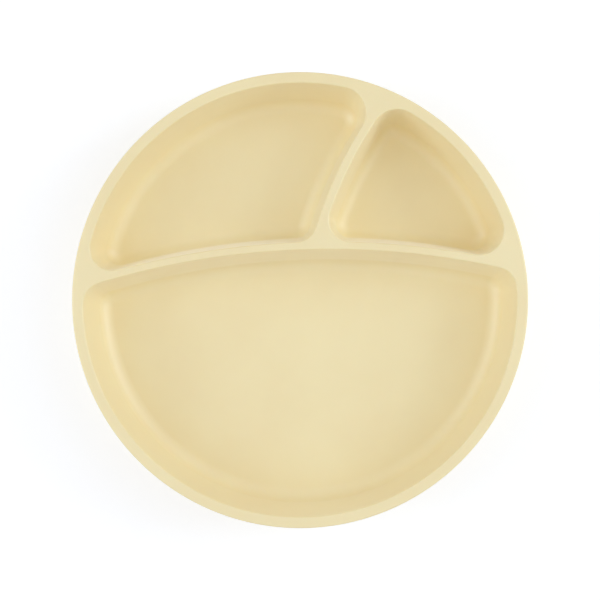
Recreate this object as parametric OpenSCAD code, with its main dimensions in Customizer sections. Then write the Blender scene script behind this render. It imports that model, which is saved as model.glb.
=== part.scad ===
// Suction plate for a baby, moulded in one piece of silicone.
// A round plate with upright drafted walls and a flat rim. A long curved divider crosses it, and a
// shorter curved one splits the far half in two. Under the floor is a shallow suction foot with a
// thin sealing lip and a tab that breaks the seal.
// Lengths are in millimetres. The plate rests on z = 0, its axis is Z, and the largest
// compartment lies towards -Y.

/* [Plate] */
// Diameter over the rim
plate_d = 200; // [170:1:240]
// Height from the table to the top of the rim
plate_h = 30; // [24:0.5:38]
// Width of the flat rim
rim_w = 4.9; // [4:0.1:8]
// Thickness of the floor
floor_t = 3; // [2:0.1:4.5]
// Lean of the outer wall, in degrees from upright
outer_draft = 17; // [10:0.5:20]
// Radius of the round between the outer wall and the underside
heel_r = 7; // [3:0.5:10]
// Radius of the soft edges along the rim and the dividers
edge_r = 0.8; // [0.4:0.1:1.2]

/* [Compartments] */
// Lean of the compartment walls, in degrees from upright
wall_draft = 10; // [6:0.5:14]
// Radius of the round between the walls and the floor
floor_r = 6.5; // [3:0.5:9]
// Radius of the tight corners where the walls end on the floor
tight_corner_r = 0.5; // [0.3:0.1:3]
// Radius of the wide corners where the walls end on the floor
wide_corner_r = 1.7; // [0.6:0.1:4]

/* [Long divider] */
// Width of its top
long_w = 3.3; // [2.4:0.1:6]
// Radius of its curve
long_r = 352; // [250:1:600]
// How far its crest lies beyond the centre of the plate
long_rise = 23.2; // [12:0.2:34]

/* [Cross divider] */
// Width of its top
cross_w = 3.8; // [2.4:0.1:6]
// Radius of its curve
cross_r = 188.7; // [140:0.1:400]
// Where it leaves the long divider, to the right of the crest
cross_foot_x = 8; // [-12:0.1:16]
// Its lean at that point, in degrees from straight ahead
cross_lean = 16.9; // [0:0.1:20]

/* [Suction foot] */
// Gap between the table and the underside of the plate
foot_h = 4; // [3:0.1:6]
// Height of the air space inside the foot
chamber_h = 3; // [2:0.1:3]
// Diameter over the sealing lip
lip_d = 140; // [110:1:150]
// Thickness of the sealing lip at its edge
lip_t = 1; // [0.8:0.1:1.4]
// Width of the ring of the lip that lies on the table
seal_w = 2.5; // [1.5:0.1:4]
// How far the lip flares out from the foot
flare_w = 8; // [5:0.5:12]
// Thickness of the foot's wall, measured level, where it leaves the underside
foot_wall = 4.5; // [3:0.1:8]

/* [Release tab] */
// Width of the tab
tab_w = 18; // [12:1:30]
// How far the tab reaches past the lip
tab_reach = 22; // [12:1:26]
// Thickness of the tab
tab_t = 1.6; // [1.2:0.1:2]
// Gap between the tab and the table
tab_lift = 0.5; // [0.3:0.1:0.9]

/* [Hidden] */

silicone = [0.925, 0.870, 0.715];
$fa = 1.5;
$fs = 0.4;

// Steps in the arcs of the profiles
edge_steps = 3;
floor_steps = 6;
heel_steps = 5;
// Overlap that makes two joined shapes one, and overrun of a cut past the surface that it opens
joint = 0.5;
overrun = 1;
// How far a corner's round turns past the space that it joins, in degrees. It is far too little to
// measure, and leaves no film between the two.
film = 0.0000001;

plate_r = plate_d / 2;
floor_z = foot_h + floor_t;
depth = plate_h - floor_z;
lip_r = lip_d / 2;
foot_r = lip_r - flare_w;

// Walls that touch have to agree exactly, so their sizes are kept to a thousandth of a millimetre
function fine(length) = round(length * 1000) / 1000;

// The curved walls of the compartments at the level of the rim, each as
// [centre, radius, side]. Side is 1 where the compartment lies inside the circle and -1 where it
// lies outside.
long_centre = [0, fine(long_rise - long_r)];
cross_foot = [cross_foot_x, long_centre.y + sqrt(long_r * long_r - cross_foot_x * cross_foot_x)];
cross_centre = [
    fine(cross_foot.x + cross_r * cos(cross_lean)),
    fine(cross_foot.y - cross_r * sin(cross_lean))
];
rim_wall = [[0, 0], fine(plate_r - rim_w), 1];
near_long_wall = [long_centre, fine(long_r - long_w / 2), 1];
far_long_wall = [long_centre, fine(long_r + long_w / 2), -1];
left_cross_wall = [cross_centre, fine(cross_r + cross_w / 2), -1];
right_cross_wall = [cross_centre, fine(cross_r - cross_w / 2), 1];

function arc(centre, r, from, to, steps) =
    [for (i = [0:steps]) let (a = from + (to - from) * i / steps) centre + r * [cos(a), sin(a)]];

// Section of a compartment wall from the rim's level down to the floor, as points
// [distance inwards from the wall's circle, height]: soft edge, drafted wall, round at the floor
edge_centre = [-edge_r * (1 - sin(wall_draft)) / cos(wall_draft), plate_h - edge_r];
floor_round_centre = [
    (floor_r + (depth - floor_r) * sin(wall_draft)) / cos(wall_draft),
    floor_z + floor_r
];
wall_section = [
    for (p = concat(
        arc(edge_centre, edge_r, 90, wall_draft, edge_steps),
        arc(floor_round_centre, floor_r, 180 + wall_draft, 270, floor_steps)
    )) [fine(p.x), fine(p.y)]
];

// Radius of a corner at the level of the rim. It grows up the wall by as much as the wall leans out.
function top_r(corner_r) = fine(corner_r + floor_round_centre.x);

// Points where two circles meet, on the left of the line from a to b where side is 1
function circles_meet(a, ra, b, rb, side) =
    let (
        d = norm(b - a),
        u = (b - a) / d,
        along = (d * d + ra * ra - rb * rb) / (2 * d),
        across = sqrt(ra * ra - along * along)
    )
    a + along * u + side * across * [-u.y, u.x];

// Centre of a corner of radius r that touches two walls
function corner_centre(wall_a, wall_b, r, side) =
    circles_meet(wall_a[0], wall_a[1] - wall_a[2] * r, wall_b[0], wall_b[1] - wall_b[2] * r, side);

// Corners of each compartment, as [wall, wall, radius at the level of the rim, side]
near_corners = [
    [rim_wall, near_long_wall, top_r(tight_corner_r), 1],
    [rim_wall, near_long_wall, top_r(tight_corner_r), -1]
];
left_corners = [
    [rim_wall, far_long_wall, top_r(tight_corner_r), -1],
    [far_long_wall, left_cross_wall, top_r(tight_corner_r), 1],
    [rim_wall, left_cross_wall, top_r(wide_corner_r), 1]
];
right_corners = [
    [far_long_wall, right_cross_wall, top_r(tight_corner_r), 1],
    [rim_wall, far_long_wall, top_r(wide_corner_r), 1],
    [rim_wall, right_cross_wall, top_r(wide_corner_r), 1]
];

// Heading from a corner's centre to the point where it touches a wall
function touch_heading(centre, wall) =
    let (v = wall[2] * (centre - wall[0])) atan2(v.y, v.x);

// Where a corner's round starts and how far it turns, in degrees, from one wall to the other
function corner_turn(centre, wall_a, wall_b) =
    let (
        a = touch_heading(centre, wall_a),
        b = touch_heading(centre, wall_b),
        turn = (b - a + 720) % 360
    )
    turn < 180 ? [fine(a), fine(turn)] : [fine(b), fine(360 - turn)];

// Half section of a round compartment of radius r
function bowl_section(r) = concat(
    [[0, plate_h + overrun], [fine(r - edge_centre.x), plate_h + overrun]],
    [for (p = wall_section) [fine(r - p.x), p.y]],
    [[0, floor_z]]
);

// Moves its children to a point in two steps, a round one and the rest, which keeps every digit
module place(point) {
    near = [fine(point.x), fine(point.y)];
    translate(near)
        translate(point - near)
            children();
}

// Solid of revolution that fills a round compartment of radius r
module bowl(centre, r) {
    place(centre)
        rotate_extrude()
            polygon(bowl_section(r));
}

// Solid of revolution that fills the inside of a wall whose compartment lies outside it
module mound(centre, r) {
    place(centre)
        rotate_extrude()
            polygon(concat(
                [[0, plate_h + 2 * overrun], [fine(r + edge_centre.x), plate_h + 2 * overrun]],
                [for (p = wall_section) [fine(r + p.x), p.y]],
                [[fine(r + floor_round_centre.x), floor_z - overrun], [0, floor_z - overrun]]
            ));
}

// Turns its children, a half section, through the angle of a corner and a little past both ends
module in_corner(centre, turn, past = 0) {
    place(centre)
        rotate_extrude(start = turn[0] - past, angle = turn[1] + 2 * past)
            children();
}

// Space of a compartment without its corners. Its children are the space with sharp corners, and
// each corner in the list takes away the sharp end past the points where its round touches the walls.
module without_corners(corners) {
    difference() {
        children();
        for (c = corners) {
            centre = corner_centre(c[0], c[1], c[2], c[3]);
            in_corner(centre, corner_turn(centre, c[0], c[1]))
                translate([0, floor_z - overrun])
                    square([2.5 * c[2], depth + 3 * overrun]);
        }
    }
}

// Rounds that take the place of the sharp ends, each a sector of a small bowl
module round_corners(corners) {
    for (c = corners) {
        centre = corner_centre(c[0], c[1], c[2], c[3]);
        in_corner(centre, corner_turn(centre, c[0], c[1]), film)
            polygon(bowl_section(c[2]));
    }
}

module near_compartment() {
    without_corners(near_corners)
        intersection() {
            bowl(rim_wall[0], rim_wall[1]);
            bowl(near_long_wall[0], near_long_wall[1]);
        }
}

module left_compartment() {
    without_corners(left_corners)
        difference() {
            bowl(rim_wall[0], rim_wall[1]);
            mound(far_long_wall[0], far_long_wall[1]);
            mound(left_cross_wall[0], left_cross_wall[1]);
        }
}

module right_compartment() {
    without_corners(right_corners)
        difference() {
            intersection() {
                bowl(rim_wall[0], rim_wall[1]);
                bowl(right_cross_wall[0], right_cross_wall[1]);
            }
            mound(far_long_wall[0], far_long_wall[1]);
        }
}

// Outside of the plate without its compartments
module plate_blank() {
    rim_round = [plate_r - edge_r, plate_h - edge_r];
    heel_z = foot_h + heel_r;
    // The heel touches the same leaning line as the round of the rim
    heel_x = rim_round.x + (edge_r - heel_r) / cos(outer_draft)
        - (rim_round.y - heel_z) * tan(outer_draft);
    rotate_extrude()
        polygon(concat(
            [[0, plate_h]],
            arc(rim_round, edge_r, 90, -outer_draft, edge_steps),
            arc([heel_x, heel_z], heel_r, -outer_draft, -90, heel_steps),
            [[0, foot_h]]
        ));
}

// Thick disc under the floor, hollowed from below, with the lip flaring out of it
module suction_foot() {
    rotate_extrude()
        polygon([
            [0, foot_h + joint],
            [0, chamber_h],
            [foot_r - foot_wall, chamber_h],
            [lip_r - seal_w, 0],
            [lip_r, 0],
            [lip_r, lip_t],
            [foot_r, foot_h],
            [foot_r, foot_h + joint]
        ]);
}

// Tongue with a round end, moulded onto the lip
module release_tab() {
    straight = tab_reach - tab_w / 2 + seal_w;
    translate([0, seal_w - lip_r, tab_lift])
        linear_extrude(height = tab_t) {
            translate([-tab_w / 2, -straight])
                square([tab_w, straight]);
            translate([0, -straight])
                circle(d = tab_w);
        }
}

module plate() {
    color(silicone)
        union() {
            difference() {
                plate_blank();
                near_compartment();
                left_compartment();
                right_compartment();
                round_corners(near_corners);
                round_corners(left_corners);
                round_corners(right_corners);
            }
            suction_foot();
            release_tab();
        }
}

plate();
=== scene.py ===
"""Looks of the suction plate: a fine, softly rounded skin over the CAD plate, satin silicone, and a
bright studio seen from straight above. Lengths are in millimetres, apart from those of the
materials, the floor and the lamps, which are in metres."""

import math

import bmesh
import bpy
from mathutils import Matrix, Vector


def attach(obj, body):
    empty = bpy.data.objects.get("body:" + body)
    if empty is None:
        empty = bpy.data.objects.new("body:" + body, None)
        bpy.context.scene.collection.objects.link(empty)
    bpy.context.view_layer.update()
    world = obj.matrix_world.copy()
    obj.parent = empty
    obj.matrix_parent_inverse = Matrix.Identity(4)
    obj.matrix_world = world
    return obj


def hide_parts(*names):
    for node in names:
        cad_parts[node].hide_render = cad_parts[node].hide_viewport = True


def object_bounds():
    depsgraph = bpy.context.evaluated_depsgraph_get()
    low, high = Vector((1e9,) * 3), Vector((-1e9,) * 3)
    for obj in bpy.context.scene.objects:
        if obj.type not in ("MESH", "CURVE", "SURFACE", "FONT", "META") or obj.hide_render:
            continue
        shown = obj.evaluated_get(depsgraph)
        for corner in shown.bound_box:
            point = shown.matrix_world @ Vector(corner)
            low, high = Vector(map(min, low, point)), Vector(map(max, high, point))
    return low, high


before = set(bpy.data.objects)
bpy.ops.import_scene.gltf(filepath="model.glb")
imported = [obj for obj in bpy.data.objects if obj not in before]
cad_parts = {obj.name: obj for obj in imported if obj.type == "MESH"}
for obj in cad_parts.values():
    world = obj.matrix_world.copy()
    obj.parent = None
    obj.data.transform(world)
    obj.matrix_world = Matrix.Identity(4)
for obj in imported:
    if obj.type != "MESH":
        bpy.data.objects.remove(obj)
cad_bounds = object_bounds()

MM = 0.001

# Sizes of the plate, as in the CAD source
PLATE_R = 100.0
PLATE_H = 30.0
RIM_W = 4.9
FLOOR_T = 3.0
OUTER_DRAFT = 17.0
HEEL_R = 7.0
EDGE_R = 0.8
WALL_DRAFT = 10.0
FLOOR_R = 6.5
TIGHT_R = 0.5
WIDE_R = 1.7
LONG_W = 3.3
LONG_R = 352.0
LONG_RISE = 23.2
CROSS_W = 3.8
CROSS_R = 188.7
CROSS_FOOT_X = 8.0
CROSS_LEAN = 16.9
FOOT_H = 4.0
CHAMBER_H = 3.0
LIP_R = 70.0
LIP_T = 1.0
SEAL_W = 2.5
FLARE_W = 8.0
FOOT_WALL = 4.5
TAB_W = 18.0
TAB_REACH = 22.0
TAB_T = 1.6
TAB_LIFT = 0.5

FLOOR_Z = FOOT_H + FLOOR_T
DEPTH = PLATE_H - FLOOR_Z
FOOT_R = LIP_R - FLARE_W
# The CAD mesh has flat facets, so its box is a hair smaller than the plate. The skin stays in it.
OUTER_R = min(abs(v) for corner in cad_bounds for v in corner[:2]) / MM

# Fillets of the foot, the lip and the chamber, and of the tab's edge and root
FOOT_FILLET = 0.9
LIP_TOP_FILLET = 0.35
LIP_TIP_FILLET = 0.3
SEAL_FILLET = 2.0
CHAMBER_FILLET = 1.2
TAB_EDGE_R = 0.45
TAB_ROOT_R = 1.0
# How far the tab's root reaches into the lip
TAB_ROOT = 5.0

# How fine the mesh is: lengths along walls, degrees round corners, which are the arcs of less than
# CORNER_MAX_R, and steps in the sections' lines and arcs
WALL_STEP = 1.1
CORNER_STEP = 4.0
CORNER_MAX_R = 20.0
DRAFT_STEPS = 4
EDGE_STEPS = 7
FLOOR_STEPS = 14
RIM_STEPS = 9
HEEL_STEPS = 16
FILLET_STEPS = 5
SMALL_FILLET_STEPS = 4
TURN_STEPS = 400


def cosd(a):
    return math.cos(math.radians(a))


def sind(a):
    return math.sin(math.radians(a))


def unit(a):
    return Vector((cosd(a), sind(a)))


class Skin:
    """Vertices with their true normals, and faces, for one mesh."""

    def __init__(self):
        self.bm = bmesh.new()
        self.normals = []

    def point(self, xyz, normal):
        v = self.bm.verts.new(Vector(xyz) * MM)
        self.normals.append(Vector(normal).normalized())
        return v

    def strip(self, a, b):
        """Joins two rings of the same length."""
        n = len(a)
        for i in range(n):
            j = (i + 1) % n
            self.bm.faces.new((a[i], a[j], b[j], b[i]))

    def rings(self, rings):
        for a, b in zip(rings, rings[1:]):
            self.strip(a, b)

    def edges_of(self, ring):
        """The edges round a ring that has been joined to another."""
        return [self.bm.edges.get((a, b)) for a, b in zip(ring, ring[1:] + ring[:1])]

    def mesh(self, name):
        self.bm.verts.index_update()
        bmesh.ops.recalc_face_normals(self.bm, faces=self.bm.faces)
        mesh = bpy.data.meshes.new(name)
        self.bm.to_mesh(mesh)
        self.bm.free()
        mesh.shade_smooth()
        mesh.normals_split_custom_set_from_vertices([tuple(n) for n in self.normals])
        return mesh


# Plan of the compartments. A wall is (centre, radius at the rim's level, side). Side is 1 where
# the compartment lies inside the wall's circle and -1 where it lies outside.

long_centre = Vector((0.0, LONG_RISE - LONG_R))
cross_foot = Vector((CROSS_FOOT_X, long_centre.y + math.sqrt(LONG_R**2 - CROSS_FOOT_X**2)))
cross_centre = cross_foot + CROSS_R * Vector((cosd(CROSS_LEAN), -sind(CROSS_LEAN)))

RIM = (Vector((0.0, 0.0)), PLATE_R - RIM_W, 1)
NEAR_LONG = (long_centre, LONG_R - LONG_W / 2, 1)
FAR_LONG = (long_centre, LONG_R + LONG_W / 2, -1)
LEFT_CROSS = (cross_centre, CROSS_R + CROSS_W / 2, -1)
RIGHT_CROSS = (cross_centre, CROSS_R - CROSS_W / 2, 1)

# Section of a compartment wall, from the rim's level down to the floor, as
# (distance inwards, height, inward part of the normal, upward part)
edge_centre = Vector((-EDGE_R * (1 - sind(WALL_DRAFT)) / cosd(WALL_DRAFT), PLATE_H - EDGE_R))
toe_centre = Vector(((FLOOR_R + (DEPTH - FLOOR_R) * sind(WALL_DRAFT)) / cosd(WALL_DRAFT),
                     FLOOR_Z + FLOOR_R))
section = []
for i in range(EDGE_STEPS + 1):
    n = unit(90 - (90 - WALL_DRAFT) * i / EDGE_STEPS)
    p = edge_centre + EDGE_R * n
    section.append((p.x, p.y, n.x, n.y))
for i in range(FLOOR_STEPS + 1):
    n = -unit(180 + WALL_DRAFT + (90 - WALL_DRAFT) * i / FLOOR_STEPS)
    p = toe_centre - FLOOR_R * n
    section.append((p.x, p.y, n.x, n.y))
top, foot = section[EDGE_STEPS], section[EDGE_STEPS + 1]
between = []
for i in range(1, DRAFT_STEPS):
    between.append(tuple(a + (b - a) * i / DRAFT_STEPS for a, b in zip(top, foot)))
section[EDGE_STEPS + 1:EDGE_STEPS + 1] = between


def circles_meet(a, ra, b, rb, near):
    """The point where two circles meet that is nearest to a given one."""
    d = (b - a).length
    u = (b - a) / d
    along = (d * d + ra * ra - rb * rb) / (2 * d)
    across = math.sqrt(ra * ra - along * along)
    both = [a + along * u + s * across * Vector((-u.y, u.x)) for s in (1, -1)]
    return min(both, key=lambda p: (p - near).length)


def heading(v):
    return math.degrees(math.atan2(v.y, v.x))


def outline_arcs(walls, corners):
    """Arcs round a compartment, counter-clockwise. Corner k, (radius, rough place), lies between
    wall k and the next one. An arc is (centre, radius, side, from, to), in headings that point
    out of the compartment."""
    made = []
    for k, (r, near) in enumerate(corners):
        a, b = walls[k], walls[(k + 1) % len(walls)]
        c = circles_meet(a[0], a[1] - a[2] * r, b[0], b[1] - b[2] * r, Vector(near))
        made.append((c, r, heading(a[2] * (c - a[0])), heading(b[2] * (c - b[0]))))
    arcs = []
    for k, wall in enumerate(walls):
        before, after = made[k - 1], made[k]
        start, end = before[3], after[2]
        if wall[2] > 0:
            end = start + (end - start) % 360
        else:
            end = start - (start - end) % 360
        arcs.append((*wall, start, end))
        c, r, start, end = after
        arcs.append((c, r, 1, start, start + (end - start) % 360))
    return arcs


def arc_points(arcs, inset):
    """[(point, outward direction)] round a compartment, at a distance inwards from its walls."""
    out = []
    for c, r, side, start, end in arcs:
        if r < CORNER_MAX_R:
            steps = max(2, math.ceil(abs(end - start) / CORNER_STEP))
        else:
            steps = max(2, math.ceil(math.radians(abs(end - start)) * r / WALL_STEP))
        for i in range(steps):
            u = unit(start + (end - start) * i / steps)
            out.append((c + side * (r - side * inset) * u, u))
    return out


# Corners shrink by the wall's run from the rim's level down to the flat floor
run = toe_centre.x
tight = TIGHT_R + run
wide = WIDE_R + run
compartments = [
    outline_arcs([RIM, NEAR_LONG], [(tight, (88, 8)), (tight, (-88, 8))]),
    outline_arcs([FAR_LONG, LEFT_CROSS, RIM], [(tight, (-1, 34)), (wide, (20, 82)), (tight, (-82, 24))]),
    outline_arcs([FAR_LONG, RIM, RIGHT_CROSS], [(wide, (82, 26)), (wide, (45, 71)), (tight, (20, 32))]),
]


def rounded(corners):
    """A line through corners (radius of turn, height, fillet, steps), as (r, z, normal r, normal z).
    The solid is on the right of the line."""
    pts = [Vector(c[:2]) for c in corners]
    out = []
    for k in range(1, len(pts) - 1):
        u = (pts[k] - pts[k - 1]).normalized()
        v = (pts[k + 1] - pts[k]).normalized()
        turn = math.atan2(u.x * v.y - u.y * v.x, u.dot(v))
        fillet, steps = corners[k][2], corners[k][3]
        cut = fillet * math.tan(abs(turn) / 2)
        sign = -1 if turn < 0 else 1
        start = pts[k] - cut * u
        centre = start + sign * fillet * Vector((-u.y, u.x))
        for i in range(steps + 1):
            t = turn * i / steps
            n = Vector((-u.y * math.cos(t) - u.x * math.sin(t), u.x * math.cos(t) - u.y * math.sin(t)))
            p = centre - sign * fillet * n
            out.append((p.x, p.y, n.x, n.y))
    return out


# Half section of the outside: rim, outer wall, foot, lip, sealing ring and chamber. The outer wall
# touches the rim's round and leans inwards below it.
rim_round = Vector((OUTER_R - EDGE_R, PLATE_H - EDGE_R))
touch = rim_round + EDGE_R * unit(-OUTER_DRAFT)
lean = math.tan(math.radians(OUTER_DRAFT))
outside = rounded([
    (0.0, PLATE_H, 0, 0),
    (touch.x + (PLATE_H - touch.y) * lean, PLATE_H, EDGE_R, RIM_STEPS),
    (touch.x - (touch.y - FOOT_H) * lean, FOOT_H, HEEL_R, HEEL_STEPS),
    (FOOT_R, FOOT_H, FOOT_FILLET, FILLET_STEPS),
    (LIP_R, LIP_T, LIP_TOP_FILLET, SMALL_FILLET_STEPS),
    (LIP_R, 0.0, LIP_TIP_FILLET, FILLET_STEPS),
    (LIP_R - SEAL_W, 0.0, SEAL_FILLET, SMALL_FILLET_STEPS),
    (FOOT_R - FOOT_WALL, CHAMBER_H, CHAMBER_FILLET, FILLET_STEPS),
    (0.0, CHAMBER_H, 0, 0),
])


def build_plate():
    skin = Skin()
    bm = skin.bm

    # Compartments, from the rim's level down to the floor
    open_edges = []
    for arcs in compartments:
        rings = []
        for inset, z, n_in, n_up in section:
            rings.append([skin.point((p.x, p.y, z), (-n_in * u.x, -n_in * u.y, n_up))
                          for p, u in arc_points(arcs, inset)])
        skin.rings(rings)
        bm.faces.new(rings[-1])
        open_edges += skin.edges_of(rings[0])

    # Outside wall, underside and suction foot, turned about the plate's axis
    rings = []
    for r, z, nr, nz in outside:
        ring = []
        for i in range(TURN_STEPS):
            u = unit(360 * i / TURN_STEPS)
            ring.append(skin.point((r * u.x, r * u.y, z), (nr * u.x, nr * u.y, nz)))
        rings.append(ring)
    skin.rings(rings)
    bm.faces.new(rings[-1])
    open_edges += skin.edges_of(rings[0])

    # Flat top of the rim and the dividers
    bmesh.ops.triangle_fill(bm, use_beauty=True, edges=open_edges, normal=(0, 0, 1))
    return skin.mesh("plate_skin")


def build_tab():
    """Tongue with a round end and soft edges. Its root lies inside the lip."""
    skin = Skin()

    # Plan, counter-clockwise: the round end and the root's two corners
    half = TAB_W / 2
    end_y = -(LIP_R + TAB_REACH - half)
    root_x = half - TAB_ROOT_R
    root_y = -(LIP_R - TAB_ROOT) - TAB_ROOT_R
    arcs = [
        (Vector((0.0, end_y)), half, 1, 180, 360),
        (Vector((root_x, root_y)), TAB_ROOT_R, 1, 0, 90),
        (Vector((-root_x, root_y)), TAB_ROOT_R, 1, 90, 180),
    ]

    # Lower and upper edge, as (first angle, height of the round's centre)
    levels = [
        (-90, TAB_LIFT + TAB_EDGE_R),
        (0, TAB_LIFT + TAB_T - TAB_EDGE_R),
    ]
    rings = []
    for start, z in levels:
        for i in range(FILLET_STEPS + 1):
            n = unit(start + 90 * i / FILLET_STEPS)
            inset = TAB_EDGE_R * (1 - n.x)
            rings.append([skin.point((p.x, p.y, z + TAB_EDGE_R * n.y), (n.x * u.x, n.x * u.y, n.y))
                          for p, u in arc_points(arcs, inset)])
    skin.rings(rings)
    skin.bm.faces.new(rings[0])
    skin.bm.faces.new(rings[-1])
    return skin.mesh("release_tab")


# Silicone: pigment, satin, and heights of its waves and grain in metres
PALE_CREAM = (0.950, 0.825, 0.520, 1)
DEEP_CREAM = (0.925, 0.790, 0.485, 1)
ROUGHNESS = (0.42, 0.52)
WAVE_H = 0.00022
GRAIN_H = 0.000012

# Paper floor, and a lift towards white that only shows where it is seen: (metres from the plate's
# axis, strength), near the plate and far away
PAPER_WHITE = (0.96, 0.96, 0.96, 1)
LIFT_COLOUR = (0.70, 0.76, 1.0, 1)
LIFT_NEAR = (0.12, 0.30)
LIFT_FAR = (1.0, 0.75)


def node_of(tree, kind, x, y, inputs=None, **settings):
    node = tree.nodes.new(kind)
    node.location = (x, y)
    for key, value in settings.items():
        setattr(node, key, value)
    for key, value in (inputs or {}).items():
        node.inputs[key].default_value = value
    return node


def map_range(tree, x, y, start, end):
    """Maps start[0] to start[1] and end[0] to end[1]."""
    values = {"From Min": start[0], "To Min": start[1], "From Max": end[0], "To Max": end[1]}
    return node_of(tree, "ShaderNodeMapRange", x, y, values)


def noise(tree, place, x, y, scale, detail, roughness):
    values = {"Scale": scale, "Detail": detail, "Roughness": roughness}
    node = node_of(tree, "ShaderNodeTexNoise", x, y, values)
    tree.links.new(place.outputs["Object"], node.inputs["Vector"])
    return node.outputs["Fac"]


def empty_material(name):
    mat = bpy.data.materials.new(name)
    mat.use_nodes = True
    mat.node_tree.nodes.clear()
    return mat, mat.node_tree


def silicone():
    mat, t = empty_material("satin_cream_silicone")
    place = node_of(t, "ShaderNodeTexCoord", -1100, 0)
    out = node_of(t, "ShaderNodeOutputMaterial", 900, 0)
    shader = node_of(t, "ShaderNodeBsdfPrincipled", 600, 0, {
        "IOR": 1.5,
        "Specular IOR Level": 1.0,
        "Sheen Weight": 0.5,
        "Sheen Roughness": 0.4,
        "Subsurface Weight": 0.12,
        "Subsurface Radius": (1.0, 0.75, 0.4),
        "Subsurface Scale": 0.003,
    })
    t.links.new(shader.outputs["BSDF"], out.inputs["Surface"])

    # Faint clouds in the pigment
    tint = node_of(t, "ShaderNodeValToRGB", -550, 300)
    deep, pale = tint.color_ramp.elements
    deep.position = 0.35
    deep.color = DEEP_CREAM
    pale.position = 0.68
    pale.color = PALE_CREAM
    clouds = noise(t, place, -800, 300, scale=26.0, detail=4.0, roughness=0.55)
    t.links.new(clouds, tint.inputs["Fac"])
    t.links.new(tint.outputs["Color"], shader.inputs["Base Color"])

    # Satin, a little duller in patches
    satin = map_range(t, -550, 0, (0.3, ROUGHNESS[0]), (0.7, ROUGHNESS[1]))
    patches = noise(t, place, -800, 0, scale=95.0, detail=5.0, roughness=0.6)
    t.links.new(patches, satin.inputs["Value"])
    t.links.new(satin.outputs["Result"], shader.inputs["Roughness"])

    # Soft waves of a flexible moulding, and the fine grain of the mould
    waves = node_of(t, "ShaderNodeBump", -450, -300, {"Strength": 0.5, "Distance": WAVE_H})
    grain = node_of(t, "ShaderNodeBump", -150, -400, {"Strength": 0.35, "Distance": GRAIN_H})
    ripple = noise(t, place, -800, -300, scale=48.0, detail=2.0, roughness=0.5)
    t.links.new(ripple, waves.inputs["Height"])
    speckle = noise(t, place, -800, -550, scale=2600.0, detail=2.0, roughness=0.6)
    t.links.new(speckle, grain.inputs["Height"])
    t.links.new(waves.outputs["Normal"], grain.inputs["Normal"])
    t.links.new(grain.outputs["Normal"], shader.inputs["Normal"])
    return mat


def seen_directly(tree):
    """1 where the camera sees a surface, straight, in a reflection or through glass, else 0."""
    rays = node_of(tree, "ShaderNodeLightPath", -900, -200)
    either = node_of(tree, "ShaderNodeMath", -600, -200, operation="MAXIMUM")
    any_of = node_of(tree, "ShaderNodeMath", -300, -200, operation="MAXIMUM")
    tree.links.new(rays.outputs["Is Camera Ray"], either.inputs[0])
    tree.links.new(rays.outputs["Is Glossy Ray"], either.inputs[1])
    tree.links.new(either.outputs["Value"], any_of.inputs[0])
    tree.links.new(rays.outputs["Is Transmission Ray"], any_of.inputs[1])
    return any_of.outputs["Value"]


def white_paper():
    """Matt white floor, lifted to white where it is seen, so that only the shadow shows on it."""
    mat, t = empty_material("white_paper")
    out = node_of(t, "ShaderNodeOutputMaterial", 600, 0)
    matt = node_of(t, "ShaderNodeBsdfDiffuse", 0, 100, {"Color": PAPER_WHITE})
    lift = node_of(t, "ShaderNodeEmission", 0, -200, {"Color": LIFT_COLOUR})
    amount = node_of(t, "ShaderNodeMath", -150, -200, operation="MULTIPLY")
    both = node_of(t, "ShaderNodeAddShader", 300, 0)

    # The lamps fade with the distance from the plate, so the lift grows
    place = node_of(t, "ShaderNodeTexCoord", -900, -500)
    distance = node_of(t, "ShaderNodeVectorMath", -650, -500, operation="LENGTH")
    rise = map_range(t, -400, -500, LIFT_NEAR, LIFT_FAR)
    t.links.new(place.outputs["Object"], distance.inputs[0])
    t.links.new(distance.outputs["Value"], rise.inputs["Value"])

    t.links.new(seen_directly(t), amount.inputs[0])
    t.links.new(rise.outputs["Result"], amount.inputs[1])
    t.links.new(amount.outputs["Value"], lift.inputs["Strength"])
    t.links.new(matt.outputs["BSDF"], both.inputs[0])
    t.links.new(lift.outputs["Emission"], both.inputs[1])
    t.links.new(both.outputs["Shader"], out.inputs["Surface"])
    return mat


skin_material = silicone()
plate = bpy.data.objects.new("plate_skin", build_plate())
tab = bpy.data.objects.new("release_tab", build_tab())
for obj in (plate, tab):
    bpy.context.scene.collection.objects.link(obj)
    obj.data.materials.append(skin_material)
    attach(obj, "root")
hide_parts("plate")

# Floor, half a millimetre under the sealing ring
FLOOR_REACH = 3.0
FLOOR_DROP = 0.0005
floor_corners = []
for x, y in ((-1, -1), (1, -1), (1, 1), (-1, 1)):
    floor_corners.append((x * FLOOR_REACH, y * FLOOR_REACH, -FLOOR_DROP))
floor_mesh = bpy.data.meshes.new("floor")
floor_mesh.from_pydata(floor_corners, [], [(0, 1, 2, 3)])
floor_mesh.materials.append(white_paper())
floor = bpy.data.objects.new("floor", floor_mesh)
bpy.context.scene.collection.objects.link(floor)

# Cool lamps and a warm sky, so that the shades inside the plate are warmer than its lit walls
COOL_WHITE = (0.75, 0.875, 1.0)
WARM_WHITE = (1.0, 0.93, 0.79, 1)
SKY_STRENGTH = 0.57
LIT_POINT = Vector((0.0, 0.0, 0.02))
KEY_BOX = (0.5, 0.45)
WIDE_BOX = (0.9, 0.9)


def softbox(name, place, size, power):
    """A soft lamp that points at the plate."""
    data = bpy.data.lights.new(name, "AREA")
    data.shape = "RECTANGLE"
    data.size, data.size_y = size
    data.energy = power
    data.color = COOL_WHITE
    lamp = bpy.data.objects.new(name, data)
    lamp.location = place
    lamp.rotation_euler = (LIT_POINT - Vector(place)).to_track_quat("-Z", "Y").to_euler()
    bpy.context.scene.collection.objects.link(lamp)


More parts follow.
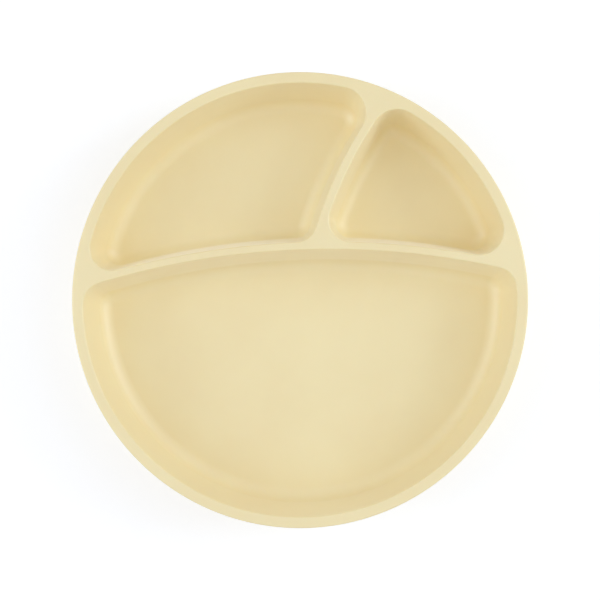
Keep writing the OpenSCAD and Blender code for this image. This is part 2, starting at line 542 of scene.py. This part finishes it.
softbox("key_right", (1.00, 0.15, 0.47), KEY_BOX, 3.31)
softbox("wide_right", (0.85, 0.10, 0.75), WIDE_BOX, 2.00)
softbox("key_left", (-1.00, 0.03, 0.47), KEY_BOX, 2.17)
softbox("wide_left", (-0.85, 0.03, 0.75), WIDE_BOX, 2.22)
softbox("front", (0.0, -0.85, 0.75), WIDE_BOX, 0.57)

world = bpy.data.worlds.new("studio")
bpy.context.scene.world = world
world.use_nodes = True
tree = world.node_tree
tree.nodes.clear()
sky = node_of(tree, "ShaderNodeBackground", 0, 100, {"Color": WARM_WHITE, "Strength": SKY_STRENGTH})
backdrop = node_of(tree, "ShaderNodeBackground", 0, -100, {"Color": (1, 1, 1, 1), "Strength": 1.0})
shown = node_of(tree, "ShaderNodeMixShader", 300, 0)
world_out = node_of(tree, "ShaderNodeOutputWorld", 600, 0)
tree.links.new(seen_directly(tree), shown.inputs["Fac"])
tree.links.new(sky.outputs["Background"], shown.inputs[1])
tree.links.new(backdrop.outputs["Background"], shown.inputs[2])
tree.links.new(shown.outputs["Shader"], world_out.inputs["Surface"])

# The photo looks straight down from a point a little to the right of the axis and below it, and is
# turned by about two degrees
EYE_XY = (8.716, -9.429)
AIM_XY = (0.403, -0.439)
EYE_H = 437.3
LENS = 60.015
SENSOR_W = 36.0
PHOTO_UP = Vector((0.0387, 0.9992, 0.0))
eye = Vector((*EYE_XY, PLATE_H + EYE_H)) * MM
aim = Vector((*AIM_XY, PLATE_H)) * MM
back = (eye - aim).normalized()
right = PHOTO_UP.cross(back).normalized()
up = back.cross(right)
camera_data = bpy.data.cameras.new("camera")
camera_data.lens = LENS
camera_data.sensor_width = SENSOR_W
camera_data.clip_start = 0.01
camera_data.clip_end = 20.0
camera = bpy.data.objects.new("camera", camera_data)
bpy.context.scene.collection.objects.link(camera)
camera.matrix_world = Matrix((
    (right.x, up.x, back.x, eye.x),
    (right.y, up.y, back.y, eye.y),
    (right.z, up.z, back.z, eye.z),
    (0, 0, 0, 1),
))
bpy.context.scene.camera = camera
bpy.context.scene.view_settings.view_transform = "Standard"

bpy.context.view_layer.update()
